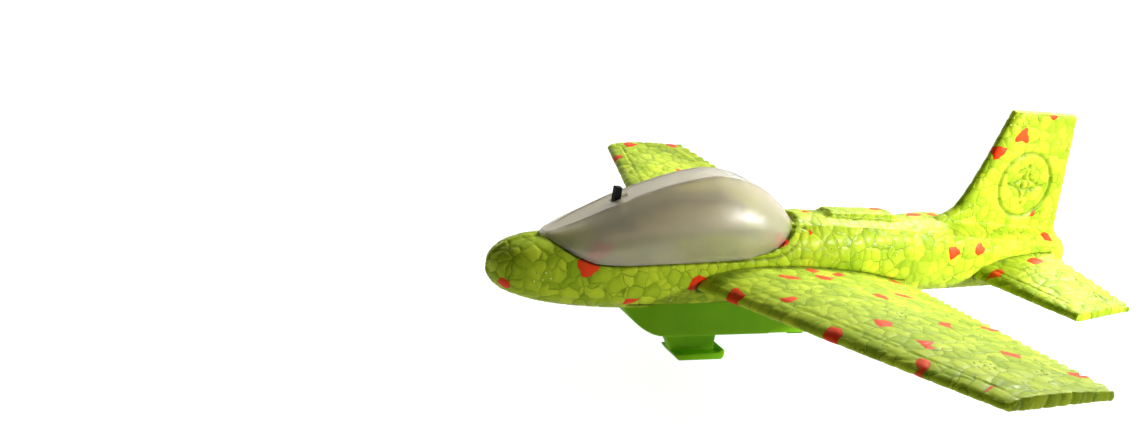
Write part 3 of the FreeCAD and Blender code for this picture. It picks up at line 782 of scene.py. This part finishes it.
vents = {
    "ring": 2.5,
    "dots": 6,
    "radius": 0.5,
    "height": 0.22,
    "foot": 0.35,            # how deep each dot is set
    "sideways": [(16, -2, -12), (16, 42, -16), (16, 99, -3), (16, 122, -4), (16, 124, -16), (16, 176, -6),
                 (6, 161, 10), (6, 172, 42), (6, 195, 37), (6, 198, 9)],
    "upward": [(23, 118, 10), (58, 88, 10), (104, 98, 10), (97, 84, 10), (20, 178, 10), (42, 183, 10)],
}


def ventMarks():
    # each dot is a shallow dome, r = R sin t and h = H cos t, set on the foam where a ray meets it
    rows, columns = 4, 10
    t = np.linspace(0, math.pi / 2, rows)[:, None]
    angle = np.linspace(0, 2 * math.pi, columns, endpoint=False)[None, :]
    radius = vents["radius"] * np.sin(t)
    height = (vents["height"] + vents["foot"]) * np.cos(t) - vents["foot"] + 0 * angle
    flatDome = np.stack([radius * np.cos(angle), radius * np.sin(angle), height], -1).reshape(-1, 3)
    graph = bpy.context.evaluated_depsgraph_get()
    foams = [bpy.data.objects[name] for name in ("foamBody", "foamWing", "foamTailplane")]
    trees = [BVHTree.FromObject(foam, graph) for foam in foams]
    points, faces = [], []
    places = [(Vector(p), Vector((1, 0, 0))) for p in vents["sideways"]]
    places += [(Vector(p), Vector((0, 0, 1))) for p in vents["upward"]]
    places += [(Vector((-p.x, p.y, p.z)), Vector((-d.x, d.y, d.z))) for p, d in places]
    for place, facing in places:
        across = facing.cross(Vector((0, 1, 0))).normalized()
        up = across.cross(facing)
        spots = [(0.0, 0.0)] + [(math.cos(a) * vents["ring"], math.sin(a) * vents["ring"])
                                for a in np.arange(vents["dots"]) * 2 * math.pi / vents["dots"] + 0.3]
        for a, b in spots:
            start = (place + across * a + up * b + Vector(datum)) * mm
            hits = [tree.ray_cast(start, -facing) for tree in trees]
            hits = [h for h in hits if h[0] is not None]
            if not hits:
                continue
            best = min(hits, key=lambda h: h[3])
            turn = best[1].to_track_quat("Z", "Y").to_matrix()
            dome = flatDome @ np.array(turn).T + np.array(best[0]) / mm - datum
            faces.append(gridFaces(rows, columns, True) + len(points) * rows * columns)
            points.append(dome)
    return newPiece("ventMarks", np.concatenate(points), np.concatenate(faces))


ventPiece = ventMarks()


def ventMaterial():
    material, tree, skin = newMaterial("ventFoam")
    cloud = ramp(tree, noise(tree, objectPlace(tree), 400.0), 0.35, 0.65)
    colour = mixColour(tree, cloud, (0.42, 0.58, 0.03, 1), (0.72, 0.85, 0.12, 1))
    tree.links.new(colour, skin.inputs["Base Color"])
    skin.inputs["Roughness"].default_value = 0.3
    skin.inputs["Coat Weight"].default_value = 0.3
    return material


setMaterial(ventPiece, ventMaterial())
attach(ventPiece, "airframe")
print("vent marks", len(ventPiece.data.polygons), "faces")


# canopy

def sideArc(width, height, t):
    # circle through (0, H), (0.75 W, 0.66 H) and (W, 0), read from its top end at t = 0 to its foot at t = 1
    ax, az = 0.75 * width, 0.66 * height - height
    bx, bz = width, -height
    cross = 2 * (ax * bz - az * bx)
    a2, b2 = ax * ax + az * az, bx * bx + bz * bz
    cx = (bz * a2 - az * b2) / cross
    cz = (ax * b2 - bx * a2) / cross
    radius = np.hypot(cx, cz)
    start = np.arctan2(-cz, -cx)
    end = np.arctan2(bz - cz, bx - cx)
    angle = start + (end - start) * t
    return cx + radius * np.cos(angle), height + cz + radius * np.sin(angle)


def canopyMoulding():
    # sections along y: a flat top panel, an arc down each side, and a small flare at the bottom edge
    front, rear = canopy["slotFront"], canopy["slotRear"]
    late = 60.0  # from here the sections crowd toward the rear end
    tip = canopy["length"] * (1 - np.cos(np.linspace(0, math.pi / 2, 40)))
    tail = late + (canopy["length"] - late) * np.sin(np.linspace(0, math.pi / 2, 60))
    slotted, middle = np.linspace(front, rear, 9), np.linspace(rear, late, 50)
    y = np.unique(np.concatenate([tip[tip < front - 0.3], slotted, middle, tail]))
    y = y[np.concatenate([[True], np.diff(y) > 1e-4])]
    flat, half = canopyLine("flat", y)[:, None], canopyLine("half", y)[:, None]
    bottom, top = canopyLine("bottom", y)[:, None], canopyLine("top", y)[:, None]
    half = np.maximum(half, flat + 1e-4)
    top = np.maximum(top, bottom + 1e-4)
    t = np.concatenate([[0.008, 0.016, 0.026, 0.040], np.linspace(0, 1, 44)[3:]])[None]
    arcX, arcZ = sideArc(half - flat, top - bottom, t)
    arcX = arcX + flat + canopy["rim"] * fade(t, 0.955, 0.99)
    arcZ = arcZ + bottom
    slot = np.minimum(canopy["slotHalf"], flat * 0.6)
    beyond = [slot + (flat - slot) * k for k in (0.3, 0.6, 0.76, 0.86, 0.94, 1.0)]
    flatX = np.concatenate([slot * 0, slot * 0.5, slot] + beyond, axis=1)
    flatZ = top + 0 * flatX
    portX = np.concatenate([flatX, arcX], axis=1)
    portZ = np.concatenate([flatZ, arcZ], axis=1)
    x = np.concatenate([-portX[:, :0:-1], portX], axis=1)
    z = np.concatenate([portZ[:, :0:-1], portZ], axis=1)
    weltZone = fade(y, 2, 7) * fade(-y, -68, -54)
    z = z + canopy["welt"] * bell(np.abs(x) - flat - 0.1, 0.42) * weltZone[:, None]
    points = np.stack([x, y[:, None] + 0 * x, z], -1)
    rows, columns = x.shape
    faces = gridFaces(rows, columns, False)
    corners = points.reshape(-1, 3)[faces].mean(1)
    hole = (np.abs(corners[:, 0]) < canopy["slotHalf"]) & (corners[:, 1] > front) & (corners[:, 1] < rear)
    return newPiece("canopyMoulding", points, faces[~hole])


canopyPiece = canopyMoulding()
if sum(p.normal.z * p.area for p in canopyPiece.data.polygons) < 0:
    canopyPiece.data.flip_normals()
wall = canopyPiece.modifiers.new("wall", "SOLIDIFY")
wall.thickness = canopy["wall"] * mm
wall.offset = -1.0
workIn(canopyPiece)


def canopyMaterial():
    # milky moulded plastic: clouded body, glossy outside with faint flow marks
    material, tree, skin = newMaterial("milkyCanopy")
    place = objectPlace(tree)
    cloud = ramp(tree, noise(tree, place, 45.0, 3.0), 0.3, 0.7)
    stretched = addNode(tree, "ShaderNodeMapping", Vector=place, Scale=(1.0, 0.25, 1.0)).outputs[0]
    flow = noise(tree, stretched, 260.0)
    dress(tree, skin, flow, 0.2, 0.06, {
        "Base Color": mixColour(tree, cloud, (0.97, 0.88, 0.67, 1), (1.0, 0.94, 0.76, 1)),
        "Roughness": ramp(tree, flow, 0.3, 0.7, 0.30, 0.37),
        "Transmission Weight": 0.80,
        "IOR": 1.46,
        "Specular IOR Level": 0.08,
        "Coat Weight": 0.9,
        "Coat Roughness": 0.05,
    })
    return material


setMaterial(canopyPiece, canopyMaterial())
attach(canopyPiece, "airframe")
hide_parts("canopy")
print("canopy", len(canopyPiece.data.polygons), "faces")


# keel: the moulded shell with softened edges

keel = {
    "voxel": 0.42,
    "soften": 4,
    "low": (0.19, 0.50, 0.0),
    "high": (0.24, 0.57, 0.0),
}


def softenedCopy(name, node, voxel, times):
    # a copy of a moulded part with its doubled points merged, then rounded off
    mesh = nodes[node].data.copy()
    build = bmesh.new()
    build.from_mesh(mesh)
    bmesh.ops.remove_doubles(build, verts=build.verts, dist=1e-6)
    build.to_mesh(mesh)
    build.free()
    piece = newObject(name, mesh)
    roundOff(piece, voxel, times)
    return piece


keelPiece = softenedCopy("keelShell", "keel", keel["voxel"], keel["soften"])


def makeMouldingGroup():
    # moulded plastic skin: clouded tone, fine spark texture and scuffs
    inputs = [("Place", "Vector"), ("Low", "Color"), ("High", "Color")]
    outputs = [("Colour", "Color"), ("Rough", "Float"), ("Height", "Float")]
    group, given, out = newGroup("mouldingSkin", inputs, outputs)
    cloud = ramp(group, noise(group, given["Place"], 60.0, 3.0), 0.3, 0.7)
    grain = noise(group, given["Place"], 4200.0, 3.0)
    scuff = noise(group, given["Place"], 320.0, 5.0, Roughness=0.7)
    group.links.new(mixColour(group, cloud, given["Low"], given["High"]), out["Colour"])
    group.links.new(ramp(group, scuff, 0.35, 0.75, -0.06, 0.14), out["Rough"])
    height = work(group, "MULTIPLY_ADD", grain, 0.6, work(group, "MULTIPLY", scuff, 0.4))
    group.links.new(height, out["Height"])
    return group


mouldingGroup = makeMouldingGroup()


def plastic(name, low, high, roughness, bumpDepth, transmission=0.0, subsurface=0.0):
    material, tree, skin = newMaterial(name)
    moulding = useGroup(tree, mouldingGroup, Place=objectPlace(tree), Low=(*low, 1), High=(*high, 1))
    dress(tree, skin, moulding["Height"], bumpDepth, 0.3, {
        "Base Color": moulding["Colour"],
        "Roughness": work(tree, "ADD", moulding["Rough"], roughness),
        "Specular IOR Level": 0.5 if transmission else 0.15,
        "Transmission Weight": transmission,
        "Subsurface Weight": subsurface,
        "Subsurface Radius": (0.5, 1.0, 0.1),
        "Subsurface Scale": 1.5 * mm,
    })
    return material


setMaterial(keelPiece, plastic("greenKeel", keel["low"], keel["high"], 0.50, 0.04, subsurface=0.15))
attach(keelPiece, "airframe")
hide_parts("keel")
print("keel", len(keelPiece.data.polygons), "faces")


# materials for the parts inside and the switch

def boardMaterial():
    # fibre laminate under a green lacquer, with straight tracks that show as raised bands
    material, tree, skin = newMaterial("laminate")
    place = objectPlace(tree)
    tracks = addNode(tree, "ShaderNodeTexBrick", {"offset": 0.35}, Vector=place, Scale=160.0, i6=0.06)
    mask = tracks.outputs["Fac"]
    fibre = noise(tree, place, 1500.0)
    base = mixColour(tree, fibre, (0.05, 0.16, 0.05, 1), (0.07, 0.22, 0.07, 1))
    dress(tree, skin, mask, 0.05, 0.5, {
        "Base Color": mixColour(tree, mask, base, (0.20, 0.32, 0.12, 1)),
        "Roughness": ramp(tree, fibre, 0.3, 0.7, 0.28, 0.42),
        "Coat Weight": 0.4,
    })
    return material


def resistorMaterial():
    # pale coat with coloured rings across its length
    material, tree, skin = newMaterial("resistorCoat")
    place = objectPlace(tree)
    across = addNode(tree, "ShaderNodeSeparateXYZ", i0=place).outputs[0]
    colour = mixColour(tree, 0.5, (0.62, 0.45, 0.24, 1), (0.66, 0.50, 0.28, 1))
    rings = [(-1.3, (0.30, 0.08, 0.02, 1)), (-0.5, (0.02, 0.02, 0.02, 1)), (0.3, (0.28, 0.07, 0.02, 1)),
             (1.3, (0.60, 0.42, 0.08, 1))]
    for ringX, ringColour in rings:
        off = work(tree, "ABSOLUTE", work(tree, "SUBTRACT", across, ringX * mm))
        colour = mixColour(tree, work(tree, "LESS_THAN", off, 0.22 * mm), colour, ringColour)
    wire = work(tree, "GREATER_THAN", work(tree, "ABSOLUTE", across), 2.2 * mm)
    tree.links.new(mixColour(tree, wire, colour, (0.55, 0.55, 0.56, 1)), skin.inputs["Base Color"])
    tree.links.new(wire, skin.inputs["Metallic"])
    tree.links.new(ramp(tree, noise(tree, place, 3000.0), 0.3, 0.7, 0.3, 0.45), skin.inputs["Roughness"])
    return material


def metal(name, colour, roughness):
    # drawn metal: fine lines and light marks
    material, tree, skin = newMaterial(name)
    place = objectPlace(tree)
    stretched = addNode(tree, "ShaderNodeMapping", Vector=place, Scale=(1.0, 6.0, 1.0)).outputs[0]
    lines = noise(tree, stretched, 2200.0)
    marks = ramp(tree, noise(tree, place, 500.0, 4.0), 0.3, 0.7)
    dark = tuple(c * 0.72 for c in colour)
    dress(tree, skin, lines, 0.02, 0.25, {
        "Base Color": mixColour(tree, marks, (*dark, 1), (*colour, 1)),
        "Roughness": ramp(tree, lines, 0.3, 0.7, roughness - 0.07, roughness + 0.1),
        "Metallic": 1.0,
    })
    return material


screwSteel = metal("screwSteel", (0.62, 0.61, 0.58), 0.30)
looks = {
    "light_box": plastic("creamTub", (0.62, 0.54, 0.38), (0.70, 0.62, 0.46), 0.42, 0.04),
    "battery_cover": plastic("creamCover", (0.64, 0.56, 0.40), (0.72, 0.64, 0.48), 0.38, 0.04),
    "button_cells": metal("cellSteel", (0.70, 0.70, 0.69), 0.24),
    "contact_plate": metal("contactSteel", (0.72, 0.66, 0.50), 0.28),
    "contact_spring": metal("springSteel", (0.60, 0.60, 0.60), 0.26),
    "circuit_board": boardMaterial(),
    "switch_body": metal("switchCase", (0.55, 0.56, 0.57), 0.34),
    "switch_lever": plastic("blackLever", (0.004, 0.003, 0.003), (0.008, 0.006, 0.006), 0.55, 0.03),
    "led_front": plastic("frontLamp", (0.80, 0.84, 0.82), (0.88, 0.90, 0.88), 0.14, 0.01, transmission=0.7),
    "led_rear": plastic("rearLamp", (0.80, 0.84, 0.82), (0.88, 0.90, 0.88), 0.14, 0.01, transmission=0.7),
    "resistor": resistorMaterial(),
    "red_lead": plastic("redSleeve", (0.42, 0.012, 0.010), (0.52, 0.02, 0.014), 0.38, 0.03),
    "black_lead": plastic("blackSleeve", (0.012, 0.012, 0.012), (0.022, 0.022, 0.022), 0.38, 0.03),
    "keel_screws": screwSteel,
    "board_screws": screwSteel,
    "cover_screw": screwSteel,
}
for node, material in looks.items():
    setMaterial(nodes[node], material)
print("materials on", len(looks), "inner parts")


# floor, light and camera

studio = {
    "floorSize": 60.0,
    "floorGlow": 0.95,       # lifts the sheet to white for the eye
    "floorBounce": 0.45,     # what of it lights the glider
    "eye": (0.2892, -0.1843, 0.1375),
    "right": (0.3762, 0.9160, 0.1392),
    "down": (0.3055, 0.0191, -0.9520),
    "lean": 0.7,             # degrees that the glider leans to port, given to the camera instead
    "leanAxis": (0.0, 0.0, 0.0345),
    "lens": 34.77,
    "ambient": 0.95,
    "shadeToward": (0.70, -0.70, 0.12),    # the room is dark off the port bow
    "lights": [                            # place, aim, size, power, spread in degrees
        ((0.34, 0.36, 0.20), (0.0, 0.12, 0.04), 0.05, 0.24, 40),
        ((-0.18, 0.38, 0.44), (0.02, 0.05, 0.03), 0.14, 0.95, 90),
    ],
}


def floorPiece():
    # a plain sheet that runs far enough to meet the backdrop
    count = 41
    side = np.linspace(-1, 1, count) * studio["floorSize"] / mm
    x, y = np.meshgrid(side, side)
    z = 0 * x
    points = np.stack([x, y - datum[1], z - datum[2]], -1)
    floor = newPiece("floor", points, gridFaces(count, count, False))
    if floor.data.polygons[0].normal.z < 0:
        floor.data.flip_normals()
    material, tree, skin = newMaterial("paleFloor")
    cloud = noise(tree, objectPlace(tree), 3.0)
    colour = mixColour(tree, cloud, (0.26, 0.26, 0.26, 1), (0.30, 0.30, 0.30, 1))
    tree.links.new(colour, skin.inputs["Base Color"])
    skin.inputs["Roughness"].default_value = 0.9
    skin.inputs["Specular IOR Level"].default_value = 0.1
    skin.inputs["Emission Color"].default_value = (1, 1, 1, 1)
    seen = tree.nodes.new("ShaderNodeLightPath").outputs["Is Camera Ray"]
    bounce = studio["floorBounce"]
    glow = work(tree, "MULTIPLY_ADD", seen, studio["floorGlow"] - bounce, bounce)
    tree.links.new(glow, skin.inputs["Emission Strength"])
    setMaterial(floor, material)


def studioWorld():
    # white to the eye; as light it falls off smoothly toward the port bow
    world = bpy.data.worlds.new("room")
    bpy.context.scene.world = world
    world.use_nodes = True
    tree = world.node_tree
    back = tree.nodes["Background"]
    direction = tree.nodes.new("ShaderNodeTexCoord").outputs["Generated"]
    toward = Vector(studio["shadeToward"]).normalized()
    along = vectorWork(tree, "DOT_PRODUCT", direction, tuple(toward)).outputs["Value"]
    lit = ramp(tree, along, -0.55, 0.30, studio["ambient"], 0.0)
    seen = tree.nodes.new("ShaderNodeLightPath").outputs["Is Camera Ray"]
    strength = addNode(tree, "ShaderNodeMix", {"data_type": "FLOAT"}, i0=seen, i2=lit, i3=1.05).outputs[0]
    tree.links.new(strength, back.inputs["Strength"])
    back.inputs["Color"].default_value = (1, 1, 1, 1)


def softLight(place, aim, size, power, spread):
    data = bpy.data.lights.new("softbox", "AREA")
    data.shape = "DISK"
    data.size = size
    data.energy = power
    data.spread = math.radians(spread)
    light = newObject("softbox", data)
    light.location = place
    light.rotation_euler = (Vector(aim) - Vector(place)).to_track_quat("-Z", "Y").to_euler()


def placeCamera():
    data = bpy.data.cameras.new("camera")
    data.lens = studio["lens"]
    data.clip_start = 0.01
    camera = newObject("camera", data)
    right = Vector(studio["right"]).normalized()
    down = Vector(studio["down"])
    down = (down - right * down.dot(right)).normalized()
    forward = right.cross(down)
    turn = Matrix((right, -down, -forward)).transposed()
    axis = Matrix.Translation(studio["leanAxis"])
    lean = axis @ Matrix.Rotation(-math.radians(studio["lean"]), 4, "Y") @ axis.inverted()
    camera.matrix_world = lean @ Matrix.Translation(studio["eye"]) @ turn.to_4x4()
    bpy.context.scene.camera = camera


floorPiece()
studioWorld()
for light in studio["lights"]:
    softLight(*light)
placeCamera()
bpy.context.scene.view_settings.view_transform = "Standard"
print("studio ready")
